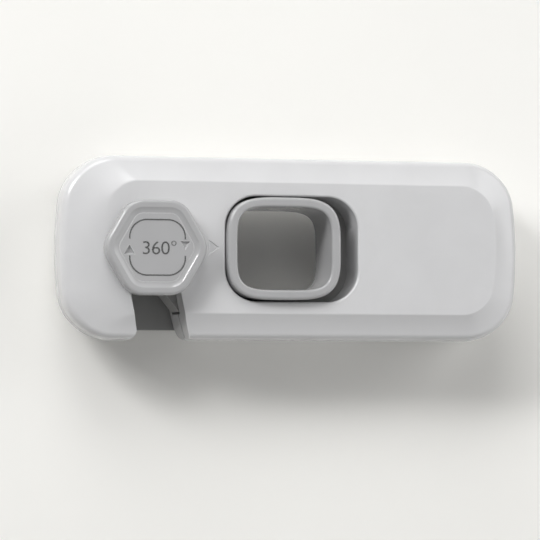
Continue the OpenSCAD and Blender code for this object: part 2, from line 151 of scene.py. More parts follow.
def soft_rectangle(w, h, r, cx=0.0, cy=0.0, steps=16):
    x, y = w / 2 - r, h / 2 - r
    corners = [(x, y, 0), (-x, y, 90), (-x, -y, 180), (x, -y, 270)]
    return [p for px, py, a in corners for p in arc(cx + px, cy + py, r, a, a + 90, steps)]


def squircle(half_w, half_h, power, middle, steps=160):
    turns = [2 * math.pi * k / steps for k in range(steps)]
    spokes = [(math.cos(a), math.sin(a)) for a in turns]
    return [(middle[0] + half_w * math.copysign(abs(c) ** (2 / power), c),
             middle[1] + half_h * math.copysign(abs(s) ** (2 / power), s)) for c, s in spokes]


def soft_hexagon(across_flats, r, steps=14):
    reach = (across_flats / 2 - r) / math.cos(math.radians(30))
    points = []
    for turn in range(0, 360, 60):
        cx, cy = reach * math.cos(math.radians(turn)), reach * math.sin(math.radians(turn))
        points += arc(post.x + cx, post.y + cy, r, turn - 30, turn + 30, steps)
    return points


def circle(cx, cy, d, steps=48):
    return arc(cx, cy, d / 2, 0, 360 - 360 / steps, steps - 1)


print("points in a rounded hexagon:", len(soft_hexagon(20, 3)))

# %% [markdown]
# The arm's outline is a rounded rectangle whose two ends swell a little past a straight line. Drawn
# in by an inset it gives every level of both halves. At the strike's end the front bevel is wider
# than elsewhere: crisp near the top, and softer from the middle down. So the left end takes two
# insets of its own, and the outline goes over from one to the other on its way down.

# %% Outline of the arm
HALF_L, HALF_H, END_BULGE, CORNER_R, PANEL_R = 59.5, 23.0, 2.6, 11.0, 6.5
BEVEL_W, EDGE_R, EDGE_TURN, WALL_DRAFT = 6.6, 2.4, 70, 0.2
CREASE_TOP, CREASE_LOW = 15.0, 3.0
CORNER_STEPS, END_STEPS = 24, 12
EDGE_IN = WALL_DRAFT + EDGE_R * (1 - math.cos(math.radians(EDGE_TURN)))
end_shares = [2 * k / END_STEPS - 1 for k in range(1, END_STEPS)]


def arm_outline(inset, crisp_left, soft_left):
    tall = HALF_H - inset
    r = CORNER_R - (CORNER_R - PANEL_R) * inset / BEVEL_W
    right, left = HALF_L - END_BULGE - inset, HALF_L - END_BULGE - crisp_left
    points = arc(right - r, tall - r, r, 0, 90, CORNER_STEPS)
    points += arc(r - left, tall - r, r, 90, 180, CORNER_STEPS)
    points += [(-left, (r - tall) * share) for share in end_shares]
    points += arc(r - left, r - tall, r, 180, 270, CORNER_STEPS)
    points += arc(right - r, r - tall, r, 270, 360, CORNER_STEPS)
    points += [(right, (tall - r) * share) for share in end_shares]
    swell = END_BULGE / (HALF_L - END_BULGE)
    outline = []
    for x, y in points:
        blend = min(1.0, max(0.0, (CREASE_TOP - y) / (CREASE_TOP - CREASE_LOW)))
        shift = (soft_left - crisp_left) * blend * blend * (3 - 2 * blend) if x < 0 else 0.0
        outline.append((x * (1 + swell * (1 - (y / tall) ** 2)) + shift, y))
    return outline


def arm_stack(name, levels, left_end):
    return stack(name, [at_height(arm_outline(inset, *left_end(inset, z)), z) for inset, z in levels])


def same_all_round(inset, z):
    return inset, inset


print("points in one outline of the arm:", len(arm_outline(0, 0, 0)))

# %% [markdown]
# The notch is the working edge of the lock: a band bent round the pivot that ends in a half circle
# round the post, so the arm can swing on and off. Each point of its outline is kept with the
# direction into the plastic, because the cutter needs it more than once: to leave a wall round the
# notch, to groove the seam, and to flare at the top like a rounding cutter.

# %% Outline of the notch
SWING_R = (pivot - post).length
NOTCH_HALF, NOTCH_WALL, REACH_BELOW = 6.2, 1.6, 1.0
RIGHT_LIP_R, LEFT_LIP_R = 1.0, 2.4
LIP_STEPS, SIDE_STEPS, ROUND_STEPS = 8, 20, 32
towards_post = (post - pivot).normalized()
downwards = Vector((-towards_post.y, towards_post.x))


def spoke_at(turn):
    return towards_post * math.cos(turn) + downwards * math.sin(turn)


def mouth_lip(side, r):
    away = SWING_R - side * (NOTCH_HALF + r)
    middle = Vector((PIVOT_X - math.sqrt(away ** 2 - (HALF_H - r) ** 2), r - HALF_H))
    aim = (middle - pivot).normalized()
    start = math.atan2(side * aim.y, side * aim.x)
    turns = [start + (-math.pi / 2 - start) * k / LIP_STEPS for k in range(LIP_STEPS + 1)]
    spokes = [Vector((math.cos(a), math.sin(a))) for a in turns]
    points = [(middle + s * r, -s) for s in spokes]
    points.append((Vector((middle.x, -HALF_H - REACH_BELOW)), Vector((0, 0))))
    return math.atan2(aim.dot(downwards), aim.dot(towards_post)), points


right_turn, right_lip = mouth_lip(1, RIGHT_LIP_R)
left_turn, left_lip = mouth_lip(-1, LEFT_LIP_R)
near = [spoke_at(right_turn * (1 - k / SIDE_STEPS)) for k in range(1, SIDE_STEPS)]
round_end = [-spoke_at(math.pi * k / ROUND_STEPS) for k in range(ROUND_STEPS + 1)]
far = [spoke_at(left_turn * k / SIDE_STEPS) for k in range(1, SIDE_STEPS)]
notch = right_lip[::-1] + [(pivot + s * (SWING_R - NOTCH_HALF), -s) for s in near]
notch += [(post + s * NOTCH_HALF, s) for s in round_end]
notch += [(pivot + s * (SWING_R + NOTCH_HALF), s) for s in far] + left_lip
notch_line = [p for p, away in notch]
notch_wall = [tuple(p + away * NOTCH_WALL) for p, away in notch]
print("points round the notch:", len(notch))

# %% [markdown]
# The front half is a shell with a flat panel, a slightly hollow bevel and a rounded edge. Its
# levels run from the parting line up: half of the shadow gap that makes the seam read as a dark
# line, the drafted wall, the rounded edge, the bevel and a small fillet into the panel, for which
# the bevel stops a little short. A designer would sketch this section once and sweep it round, and
# that is what the list of levels does.

# %% Front half: the outside
BACK_Z, FLOOR_Z, PART_Z, FRONT_Z, WALL_T = 4.0, 5.8, 13.0, 21.5, 2.0
SEAM_GAP, SEAM_DEEP, SEAM_LIP = 0.3, 0.8, 0.02
FRONT_LIP_IN, BACK_LIP_IN = 0.01, 0.005
BEVEL_DROP, COVE_SHARE = 2.4, 0.24
PANEL_FILLET, PANEL_SLOPE = 0.8, math.radians(31.7)
CRISP_EXTRA, SOFT_EXTRA, SOFT_CROWN = 3.7, 5.5, 1.8
EDGE_STEPS, BEVEL_STEPS, BEVEL_END, FILLET_STEPS = 18, 12, 0.96, 6
edge_z = FRONT_Z - BEVEL_DROP
wall_top = edge_z - EDGE_R * math.sin(math.radians(EDGE_TURN))
fillet_reach = PANEL_FILLET * math.tan(PANEL_SLOPE / 2)

front_levels = [(SEAM_DEEP, PART_Z), (SEAM_DEEP, PART_Z + SEAM_GAP)]
front_levels.append((FRONT_LIP_IN, PART_Z + SEAM_GAP + SEAM_LIP))
for k in range(EDGE_STEPS + 1):
    a = math.radians(EDGE_TURN * k / EDGE_STEPS)
    front_levels.append((WALL_DRAFT + EDGE_R * (1 - math.cos(a)), wall_top + EDGE_R * math.sin(a)))
for k in range(1, BEVEL_STEPS + 1):
    s = k / BEVEL_STEPS * BEVEL_END
    front_levels.append((EDGE_IN + (BEVEL_W - EDGE_IN) * s,
                         edge_z + BEVEL_DROP * ((1 - COVE_SHARE) * s + COVE_SHARE * s * s)))
for k in range(1, FILLET_STEPS + 1):
    b = PANEL_SLOPE * (1 - k / FILLET_STEPS)
    front_levels.append((BEVEL_W + fillet_reach - PANEL_FILLET * math.sin(b),
                         FRONT_Z - PANEL_FILLET * (1 - math.cos(b))))


def soft_left_end(inset, z):
    share = min(1.0, max(0.0, (z - edge_z) / BEVEL_DROP))
    crisp = inset + CRISP_EXTRA * max(0, inset - EDGE_IN) / (BEVEL_W - EDGE_IN)
    soft = EDGE_IN + (BEVEL_W - EDGE_IN + SOFT_EXTRA) * (1 - (1 - share) ** (1 / SOFT_CROWN))
    return crisp, soft + max(0, inset - BEVEL_W) if share > 0 else inset


front_shell = arm_stack("front_shell", front_levels, soft_left_end)
front_skin = BVHTree.FromObject(front_shell, bpy.context.evaluated_depsgraph_get())
print("levels of the front half:", len(front_levels))

# %% [markdown]
# Inside, the shell is hollow, but the wall round the notch and the four screw posts stay standing.
# They are taken out of the hollow before the hollow is taken out of the shell. A skirt then runs
# down from the slot to guide the ring. The hollow leans at its left end, to leave an even wall
# under the wider bevel there.

# %% Front half: hollow, posts and skirt
SLOT_X, SLOT_Y, SLOT_L, SLOT_H, SLOT_R = -1.05, -0.17, 34.3, 26.4, 8.0
SKIRT_T, SKIRT_Z, SKIRT_TOP = 1.2, 10.3, 20.5
SHOULDER_Z, LEAN_Z, LEAN, OVERRUN = 15.84, 15.0, 0.85, 1.0
SCREW_POST_D, IN_FRONT_LOW, IN_FRONT_TOP = 7.4, 11.0, 21.0
screw_places = [(x, y) for x in (-50.65, 51.5) for y in (-13.0, 13.0)]


def slot_outline(out):
    return soft_rectangle(SLOT_L + 2 * out, SLOT_H + 2 * out, SLOT_R + out, SLOT_X, SLOT_Y)


def leaning_left_end(inset, z):
    return same_all_round(inset + max(0, z - LEAN_Z) * LEAN, z)


hollow_levels = [(WALL_T, PART_Z - OVERRUN), (WALL_T + WALL_DRAFT, SHOULDER_Z)]
hollow_levels.append((BEVEL_W, FRONT_Z - WALL_T))
front_hollow = arm_stack("front_hollow", hollow_levels, leaning_left_end)
cut(front_hollow, prism("notch_wall", notch_wall, IN_FRONT_LOW, IN_FRONT_TOP))
for x, y in screw_places:
    cut(front_hollow, prism("screw_post", circle(x, y, SCREW_POST_D), IN_FRONT_LOW, IN_FRONT_TOP))
cut(front_shell, front_hollow)
cut(front_shell, prism("skirt", slot_outline(SKIRT_T), SKIRT_Z, SKIRT_TOP), "UNION")
print("front half hollowed, with", len(screw_places), "screw posts")

# %% [markdown]
# The ring's slot breaks through the panel. A moulded edge is never knife sharp, so the cutter flares
# where it leaves the surface, in steps along a quarter circle. The flare ends a hair above the
# panel, and the cutter goes on straight, so that the boolean never meets two faces in one plane.

# %% Front half: slot
FLARE_TURNS, SLOT_FLARE, HAIR, CLEAR = range(0, 81, 16), 0.5, 0.05, 2.0
flare_steps = [(1 - math.cos(math.radians(b)), math.sin(math.radians(b))) for b in FLARE_TURNS]

slot_rings = [(0.0, SKIRT_Z - OVERRUN)]
slot_rings += [(SLOT_FLARE * out, FRONT_Z - SLOT_FLARE * (1 - up)) for out, up in flare_steps]
slot_rings += [(SLOT_FLARE, FRONT_Z + HAIR), (SLOT_FLARE, FRONT_Z + CLEAR)]
cut(front_shell, stack("slot", [at_height(slot_outline(out), z) for out, z in slot_rings]))
print("slot cut with", len(slot_rings), "outlines")

# %% [markdown]
# The notch runs down over the bevel, so its flare can't sit at one height: each point first looks up
# the height of the skin above it. The flare fades out towards the mouth, and is narrower on the
# pivot's side. At the parting line the wall has a groove, half of it in each shell, which shows the
# seam where the eye looks into the notch.

# %% Front half: notch
FLARE, NARROWED = 0.35, 0.65
FADE_FROM, FADE_OVER, LEAST_FADE = 1.2, 2.5, 0.06
LOOK_FROM, LOWEST_SKIN = 60, PART_Z + 0.8
NOTCH_SEAM, NOTCH_SEAM_DEEP = 0.4, 0.7


def skin_height(p):
    hit = front_skin.ray_cast(to_frame((p.x, p.y, LOOK_FROM)), Vector((0, 1, 0)))[0]
    return LOWEST_SKIN if hit is None else max(LOWEST_SKIN, -hit.y / MM)


def notch_ring(out, height):
    ring = []
    for p, away in notch:
        fade = min(1.0, max(LEAST_FADE, (HALF_H + p.y - FADE_FROM) / FADE_OVER))
        reach = FLARE * fade * (1 - NARROWED * max(0, away.x))
        q = p + away * (reach * out)
        ring.append((q.x, q.y, height(skin_height(p), reach)))
    return ring


notch_seam = [p + away * NOTCH_SEAM_DEEP for p, away in notch]
notch_rings = [at_height(notch_seam, PART_Z - CLEAR)]
notch_rings.append(at_height(notch_seam, PART_Z + NOTCH_SEAM - HAIR))
notch_rings += [notch_ring(0, lambda skin, reach: PART_Z + NOTCH_SEAM)]
for out, up in flare_steps:
    notch_rings.append(notch_ring(out, lambda skin, reach: skin - reach * (1 - up)))
notch_rings.append(notch_ring(1, lambda skin, reach: skin + HAIR))
notch_rings.append(notch_ring(1, lambda skin, reach: FRONT_Z + CLEAR))
cut(front_shell, stack("notch", notch_rings))
print("notch cut with", len(notch_rings), "outlines")

# %% [markdown]
# Three smaller cuts finish the front half: the window through which the latch bolt slides into the
# notch, the holes that the case screws bite into, and a shallow triangle pressed into the panel,
# which points from the knob to the ring. The triangle's walls slope, as a stamp's would.

# %% Front half: bolt window, screw holes and pointer
WINDOW_X, WINDOW_LOW, WINDOW_TOP, WINDOW_Z = -24.5, -16.4, -6.25, 15.2
THREAD_D, THREAD_LOW, THREAD_TOP, SCREW_STEPS = 2.52, 12.0, 17.3, 24
POINTER_GAP, POINTER_L, POINTER_HALF, POINTER_SPREAD = 1.45, 3.0, 2.1, 1.6
POINTER_WALL = ((-0.32, -0.3), (0, 0.02), (0.2, 0.3))
window = [(post.x, WINDOW_LOW), (WINDOW_X, WINDOW_LOW), (WINDOW_X, WINDOW_TOP), (post.x, WINDOW_TOP)]
cut(front_shell, prism("bolt_window", window, FLOOR_Z, WINDOW_Z))
for x, y in screw_places:
    cut(front_shell, prism("screw_hole", circle(x, y, THREAD_D, SCREW_STEPS), THREAD_LOW, THREAD_TOP))


def pointer(grow):
    tip = SLOT_X - SLOT_L / 2 - POINTER_GAP
    back, half = tip - POINTER_L - grow, POINTER_HALF + POINTER_SPREAD * grow
    return [(tip + POINTER_SPREAD * grow, 0.0), (back, half), (back, -half)]


cut(front_shell, stack("pointer", [at_height(pointer(grow), FRONT_Z + z) for grow, z in POINTER_WALL]))
smooth(front_shell)

# %% [markdown]
# The back half draws in towards the surface behind along a quarter ellipse, so from the front the
# arm seems to float. Its top levels hold the other half of the shadow gap. The hollow follows a
# curve like it, a wall's thickness further in.

# %% Back half: the outside
BACK_ROUND, BACK_H, BACK_STEPS = 2.7, 9.0, 16
HOLLOW_STEPS, HOLLOW_TOP = 8, 14.0


def quarter(k, steps):
    a = math.pi / 2 * k / steps
    return 1 - math.sin(a), 1 - math.cos(a)


curve = [quarter(k, BACK_STEPS) for k in range(BACK_STEPS)]
back_levels = [(BACK_ROUND * i, BACK_Z + BACK_H * j) for i, j in curve]
back_levels.append((BACK_LIP_IN, PART_Z - SEAM_GAP - SEAM_LIP))
back_levels += [(SEAM_DEEP, PART_Z - SEAM_GAP), (SEAM_DEEP, PART_Z)]
back_shell = arm_stack("back_shell", back_levels, same_all_round)

inner_curve = [quarter(k, HOLLOW_STEPS) for k in range(HOLLOW_STEPS + 1)]
inner_levels = [(WALL_T + BACK_ROUND * i, FLOOR_Z + (PART_Z - FLOOR_Z) * j) for i, j in inner_curve]
back_hollow = arm_stack("back_hollow", inner_levels + [(WALL_T, HOLLOW_TOP)], same_all_round)
print("levels of the back half:", len(back_levels))

# %% [markdown]
# The back half holds the works: a wall round the notch, a collar for the pivot bush, rails and
# guides for the sliding carriage, and ribs that the springs push against. They are hidden once the
# lock is closed, but they are real, so they stand in the hollow as they do in the CAD model. Each is
# taken out of the hollow, from under the floor up to its own height.

# %% Back half: what stands inside
UNDER_FLOOR, IN_BACK_TOP, RIB_HALF = 3.0, 15.0, 0.6
COLLAR_D, COLLAR_Z = 15.0, 8.4
RAIL_X, RAIL_END_X, RAIL_Y, RAIL_Z = -19.4, 22.1, 13.1, 7.3
SPRING_RIB_X, SPRING_RIB_END_X, SPRING_RIB_Z = 36.1, 38.1, 11.0
SPRING_Y, SPRING_RIB_HALF = 10.7, 2.3
GUIDE_PLACES, GUIDE_L, GUIDE_Y, GUIDE_Z = (-19.4, 15.1), 7.0, 15.2, 9.9


def block(name, x0, x1, y, half, high):
    corners = [(x0, y - half), (x1, y - half), (x1, y + half), (x0, y + half)]
    return prism(name, corners, UNDER_FLOOR, high)


cut(back_hollow, prism("notch_wall", notch_wall, UNDER_FLOOR, IN_BACK_TOP))
cut(back_hollow, prism("collar", circle(PIVOT_X, 0, COLLAR_D), UNDER_FLOOR, COLLAR_Z))
for x, y in screw_places:
    cut(back_hollow, prism("screw_post", circle(x, y, SCREW_POST_D), UNDER_FLOOR, IN_BACK_TOP))
for side in (-1, 1):
    cut(back_hollow, block("rail", RAIL_X, RAIL_END_X, side * RAIL_Y, RIB_HALF, RAIL_Z))
    cut(back_hollow, block("spring_rib", SPRING_RIB_X, SPRING_RIB_END_X, side * SPRING_Y,
                           SPRING_RIB_HALF, SPRING_RIB_Z))
    for x in GUIDE_PLACES:
        cut(back_hollow, block("guide", x, x + GUIDE_L, side * GUIDE_Y, RIB_HALF, GUIDE_Z))
cut(back_shell, back_hollow)
print("back half hollowed")

# %% [markdown]
# From behind, the back half shows the opening that the finger reaches through, the notch, the bore
# of the pivot bush and four sunk screw holes. The finger opening has a softened rim too, because a
# finger slides over it each time the lock is used.

# %% Back half: openings
OPENING_W, OPENING_H, OPENING_R, OPENING_TOP = 29.8, 21.9, 5.95, 7.0
BUSH_D, BUSH_TOP, HEAD_D, HEAD_TOP = 11.02, 9.4, 5.4, 6.0
SHANK_D, SHANK_LOW, SHANK_TOP = 2.9, 4.5, 14.0


def finger_opening(out):
    return soft_rectangle(OPENING_W + 2 * out, OPENING_H + 2 * out, OPENING_R + out, SLOT_X)


opening_rings = [(FLARE, BACK_Z - CLEAR), (FLARE, BACK_Z - HAIR)]
opening_rings += [(FLARE * out, BACK_Z + FLARE * (1 - up)) for out, up in reversed(flare_steps)]
opening_rings.append((0.0, OPENING_TOP))
cut(back_shell, stack("finger_opening", [at_height(finger_opening(out), z) for out, z in opening_rings]))
notch_rings = [at_height(notch_line, BACK_Z - CLEAR), at_height(notch_line, PART_Z - NOTCH_SEAM)]
notch_rings += [at_height(notch_seam, PART_Z - NOTCH_SEAM + HAIR), at_height(notch_seam, IN_BACK_TOP)]
cut(back_shell, stack("notch", notch_rings))
cut(back_shell, prism("bolt_window", window, FLOOR_Z, WINDOW_Z))
cut(back_shell, prism("bush_bore", circle(PIVOT_X, 0, BUSH_D), UNDER_FLOOR, BUSH_TOP))
for x, y in screw_places:
    cut(back_shell, prism("head_hole", circle(x, y, HEAD_D), UNDER_FLOOR, HEAD_TOP))
    cut(back_shell, prism("screw_hole", circle(x, y, SHANK_D, SCREW_STEPS), SHANK_LOW, SHANK_TOP))
smooth(back_shell)

# %% [markdown]
# The pull ring is a short tube with a soft rim: a finger goes in and pulls it towards the pivot. Its
# section is a closed loop, so the stack of outlines runs round to its start and needs no lids. The
# outer edge has a fuller round than the inner one, and the foot is a spigot that sits in the
# carriage below. Its outline is a squircle that squares up a little on its way in.

# %% Pull ring
RING_L, RING_H, RING_X, RING_T, RING_Z = 29.1, 25.6, -3.45, 2.42, 23.8
OUTER_POWER, POWER_GAIN = 3.63, 0.32
OUTER_ROUND, INNER_ROUND, RIM_STEPS = 0.85, 0.6, 12
SPIGOT_IN, SPIGOT_EDGE, SPIGOT_TOP = 0.7, 0.2, 10.0
RING_FOOT, FOOT_EDGE = 7.4, 0.1
rim_turns = [math.pi / 2 * k / RIM_STEPS for k in range(RIM_STEPS + 1)]

ring_section = [(0.0, SPIGOT_TOP)]
ring_section += [(OUTER_ROUND * (1 - math.cos(a)), RING_Z - OUTER_ROUND * (1 - math.sin(a)))
                 for a in rim_turns]
ring_section += [(RING_T - INNER_ROUND * (1 - math.cos(a)), RING_Z - INNER_ROUND * (1 - math.sin(a)))
                 for a in reversed(rim_turns)]
ring_section += [(RING_T, RING_FOOT + 3 * FOOT_EDGE), (RING_T - FOOT_EDGE, RING_FOOT)]
ring_section += [(SPIGOT_IN + SPIGOT_EDGE, RING_FOOT), (SPIGOT_IN, RING_FOOT + SPIGOT_EDGE)]
ring_section.append((SPIGOT_IN, SPIGOT_TOP))


def ring_outline(inset):
    power = OUTER_POWER + POWER_GAIN * inset
    return squircle(RING_L / 2 - inset, RING_H / 2 - inset, power, (RING_X, SLOT_Y))


pull_ring = stack("pull_ring", [at_height(ring_outline(i), z) for i, z in ring_section], tube=True)
smooth(pull_ring)

# %% [markdown]
# The knob is a rounded hexagon with a raised rim. Light catches it in two places, the round outside
# the rim and the hollow slope inside it, so both get many levels. The slope is steep at the rim
# and runs out flat towards the cap, like a cove. Below the cap, which is made next, the knob is
# bored for its screw, washer and spindle.

# %% Knob
KNOB_AF, KNOB_R, KNOB_Z, KNOB_TOP, FOOT_R = 23.4, 6.0, 22.0, 27.0, 0.6
RIM_Z, RIM_R, FACE_Z, CAP_T = 26.8, 0.85, 26.3, 0.8
DISH_IN, DISH_BEND, CAP_IN = 1.82, 0.2, 3.25
FOOT_STEPS, COVE_STEPS = 6, 14
WASHER_D, WASHER_Z, SPINDLE_D, SPINDLE_Z = 9.6, 23.95, 5.1, 21.0


def knob_stack(name, section, across_flats, corner_r):
    return stack(name, [at_height(soft_hexagon(across_flats - 2 * i, corner_r - i), z) for i, z in section])


def bend(a, b, c, steps=6):
    ts = [k / steps for k in range(steps + 1)]
    return [tuple((1 - t) ** 2 * p + 2 * t * (1 - t) * q + t * t * r for p, q, r in zip(a, b, c)) for t in ts]


knob_foot = [quarter(k, FOOT_STEPS) for k in range(FOOT_STEPS + 1)]
knob_section = [(FOOT_R * i, KNOB_Z + FOOT_R * j) for i, j in knob_foot]
knob_turns = [math.pi / 2 * k / COVE_STEPS for k in range(COVE_STEPS + 1)]
knob_section += [(RIM_R * (1 - math.cos(a)), RIM_Z - RIM_R * (1 - math.sin(a))) for a in knob_turns]
cove_shares = [k / COVE_STEPS for k in range(1, COVE_STEPS + 1)]
cove = [(DISH_IN + (CAP_IN - DISH_IN) * s, FACE_Z + (RIM_Z - FACE_Z) * (1 - s) ** 2) for s in cove_shares]
knob_section += bend((DISH_IN - DISH_BEND, RIM_Z), (DISH_IN, RIM_Z), cove[0]) + cove[1:]
knob_section.append((CAP_IN, FACE_Z - CAP_T))
knob = knob_stack("knob", knob_section, KNOB_AF, KNOB_R)
cut(knob, prism("washer_recess", circle(post.x, post.y, WASHER_D), WASHER_Z, KNOB_TOP))
cut(knob, prism("spindle_bore", circle(post.x, post.y, SPINDLE_D), SPINDLE_Z, KNOB_TOP))
smooth(knob)

# %% [markdown]
# A flat cap closes the knob's dish and says which way the knob may turn. Its two arrow heads are
# pressed in, like the pointer on the panel: each is cut by a small stack of triangles that grow
# on the way out, which gives the recess sloping walls that catch the light.

# %% Cap of the knob and its arrow heads
CAP_AF, CAP_R = 16.88, 2.74
CAP_EDGE = ((0.0, -CAP_T), (0.0, -0.06), (0.02, -0.02), (0.06, 0.0))
ARROWS = ((-6.84, -1.75, 0.65, 1.4), (7.13, 1.62, -0.5, 1.24))
ARROW_WALL = ((-0.24, -0.55), (0.0, 0.01), (0.1, 0.2))
FOOT_SPREAD, TIP_SPREAD, SIDE_SPREAD, CAP_SHARP = 1.2, 1.6, 1.4, 25
cap = knob_stack("knob_cap", [(i, FACE_Z + z) for i, z in CAP_EDGE], CAP_AF, CAP_R)


def arrow(x, foot, tip, half, grow):
    sign = 1 if tip > foot else -1
    y0, y1 = foot - sign * grow * FOOT_SPREAD, tip + sign * grow * TIP_SPREAD
    w = half + grow * SIDE_SPREAD
    return [(post.x + x - w, post.y + y0), (post.x + x + w, post.y + y0), (post.x + x, post.y + y1)]


for place in ARROWS:
    cut(cap, stack("arrow", [at_height(arrow(*place, grow), FACE_Z + z) for grow, z in ARROW_WALL]))
smooth(cap, CAP_SHARP)

# %% [markdown]
# A thin line runs round the cap, broken by the arrow heads, and a plain number of degrees stands in
# the middle. Both are pad-printed, which lays down a few hundredths of a millimetre of ink. So they
# are thin raised shapes and not a picture, with their feet sunk a little into the cap. The line
# comes first: one half of it, drawn twice, the second time upside down.

# %% Printed line
LINE_W, INK, INK_SUNK = 0.45, 0.03, 0.02
LINE_R, LINE_REACH, LINE_TALL = 4.3, 6.96, 6.83
LINE_GAP, LINE_X, LINE_STEPS = 2.0, 0.17, 14


def two_corners(cx, cy, r):
    return arc(cx, cy, r, 0, 90, LINE_STEPS) + arc(-cx, cy, r, 90, 180, LINE_STEPS)


def half_line(up, across):
    corners = two_corners(LINE_REACH - LINE_R, LINE_TALL - LINE_R, LINE_R)
    side = [(LINE_REACH, LINE_GAP)] + corners + [(-LINE_REACH, LINE_GAP)]
    spokes = [(1.0, 0.0)] + two_corners(0, 0, 1) + [(-1.0, 0.0)]
    return [(post.x + LINE_X + x + sx * across, post.y + up * (y + sy * across))
            for (x, y), (sx, sy) in zip(side, spokes)]


lines = []
for up, name in ((1, "upper_line"), (-1, "lower_line")):
    band = half_line(up, LINE_W / 2) + half_line(up, -LINE_W / 2)[::-1]
    lines.append(prism(name, band, FACE_Z - INK_SUNK, FACE_Z + INK))
    smooth(lines[-1])

# %% [markdown]
# The number is a text object, because a type designer's curves are better than any drawn by hand.
# It is turned into a mesh and stretched to its measured width and height. Its doubled corner points
# are merged, which closes the skin.

# %% Printed number
NUMBER_W, NUMBER_H, NUMBER_X, NUMBER_Y = 8.55, 3.5, 0.69, -0.03
STROKE_MORE, LETTER_GAP, LETTER_T = 0.006, 0.95, 0.006
CURVE_STEPS, MERGE = 6, 1e-7


def print_number(name, words):
    letters = bpy.data.curves.new(name, "FONT")
    letters.body, letters.extrude, letters.offset = words, LETTER_T, STROKE_MORE
    letters.resolution_u, letters.space_character = CURVE_STEPS, LETTER_GAP
    drawn = bpy.data.objects.new(name, letters)
    bpy.context.scene.collection.objects.link(drawn)
    mesh = bpy.data.meshes.new_from_object(drawn.evaluated_get(bpy.context.evaluated_depsgraph_get()))
    bpy.data.objects.remove(drawn)
    low = [min(v.co[i] for v in mesh.vertices) for i in range(3)]
    high = [max(v.co[i] for v in mesh.vertices) for i in range(3)]
    for v in mesh.vertices:
        x, y, z = [(v.co[i] - low[i]) / (high[i] - low[i]) for i in range(3)]
        v.co = to_frame((post.x + NUMBER_X + NUMBER_W * (x - 0.5), post.y + NUMBER_Y + NUMBER_H * (y - 0.5),
                         FACE_Z - INK_SUNK + (INK + INK_SUNK) * z))
    shape = bmesh.new()
    shape.from_mesh(mesh)
    bmesh.ops.remove_doubles(shape, verts=shape.verts, dist=MERGE)
    bmesh.ops.recalc_face_normals(shape, faces=shape.faces)
    shape.to_mesh(mesh)
    shape.free()
    piece = bpy.data.objects.new(name, mesh)
    bpy.context.scene.collection.objects.link(piece)
    print(name, "faces:", len(mesh.polygons))
    return piece


number = print_number("printed_number", "360°")

# %% [markdown]
# Two coil springs push the carriage, and with it the bolt, back into the notch. A coil is a round
# wire carried along a helix, so each ring of points is turned to face along the wire. When the ring
# is pulled the coils close up towards the ribs.

# %% Return springs
COIL_X, COIL_Z, COIL_L, COIL_D = 22.1, 8.7, 14.0, 4.6
WIRE_D, TURNS = 0.6, 6
RINGS_PER_TURN, WIRE_SIDES, COIL_SHARP = 28, 12, 60
COIL_R, COIL_RUN = (COIL_D - WIRE_D) / 2, COIL_L - WIRE_D


def coil(name, y):
    sections = []
    for k in range(TURNS * RINGS_PER_TURN + 1):
        a = 2 * math.pi * k / RINGS_PER_TURN
        x = COIL_X + WIRE_D / 2 + COIL_RUN * k / (TURNS * RINGS_PER_TURN)
        middle = Vector((x, y + COIL_R * math.cos(a), COIL_Z + COIL_R * math.sin(a)))
        outwards = Vector((0, math.cos(a), math.sin(a)))
        round_turn = 2 * math.pi * COIL_R
        along = Vector((COIL_RUN / TURNS, -round_turn * math.sin(a), round_turn * math.cos(a))).normalized()
        aside = along.cross(outwards)
        sides = [2 * math.pi * s / WIRE_SIDES for s in range(WIRE_SIDES)]
        sections.append([middle + WIRE_D / 2 * (math.cos(b) * outwards + math.sin(b) * aside) for b in sides])
    return stack(name, sections)


top_coil, low_coil = coil("top_coil", SPRING_Y), coil("low_coil", -SPRING_Y)
for piece, node in ((top_coil, "upper_spring"), (low_coil, "lower_spring")):
    smooth(piece, COIL_SHARP)
    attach(piece, "arm")
    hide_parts(node)
    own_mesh(piece)

# %% [markdown]
# Behind each plate sits a pad of sticky foam, die-cut a little smaller than the plate. Foam that is
# squeezed between two flat faces swells a little at its cut edge, so the pad's outline is widest at
# half its thickness. It is filled tight, because it carries the lock.

# %% Foam pads
PAD_W, PAD_H, PAD_R, PAD_SHARP = 34.0, 37.4, 5.0, 60
PAD_EDGE = ((0.3, 0.0), (0.12, 0.1), (0.03, 0.28), (0.0, 0.5), (0.03, 0.72), (0.12, 0.9), (0.3, 1.0))


def foam_pad(name, place, body, node):
    rings = []
    for i, z in PAD_EDGE:
        outline = soft_rectangle(PAD_W - 2 * i, PAD_H - 2 * i, PAD_R - i)
        rings.append([(place.x + x, place.y + y, z) for x, y in outline])
    pad = stack(name, rings)
    smooth(pad, PAD_SHARP)
    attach(pad, body)
    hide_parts(node)
    return pad


pads = [foam_pad("base_foam", pivot, "base", "base_pad"),
        foam_pad("strike_foam", post, "strike", "strike_pad")]

# %% [markdown]
# Each new piece now takes the place of its solid and rides on the body that carries it. The marks
# ride with the knob.

# %% Pieces on their bodies
for piece, body, node, slot in ((front_shell, "arm", "front_cover", "white_casing"),
                                (back_shell, "arm", "back_cover", "white_casing"),
                                (pull_ring, "slider", "finger_ring", "grey_plastic"),
                                (knob, "knob", "hex_knob", "grey_plastic"),
                                (cap, "knob", "knob_face", "grey_plastic")):
    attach(piece, body)
    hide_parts(node)
for piece in lines + [number]:
    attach(piece, "knob")
print("pieces set on their bodies")

# %% [markdown]
# The plates, the carriage, the bush, the washers and the screws keep their CAD solids. A
# solid straight from CAD has edges of no width at all, and nothing real looks like that. A weld
# joins the facets, a narrow bevel breaks the edges as moulding or tumbling does, and weighted
# normals shade the rest. These are modifiers, so the solids themselves stay as they were packed.

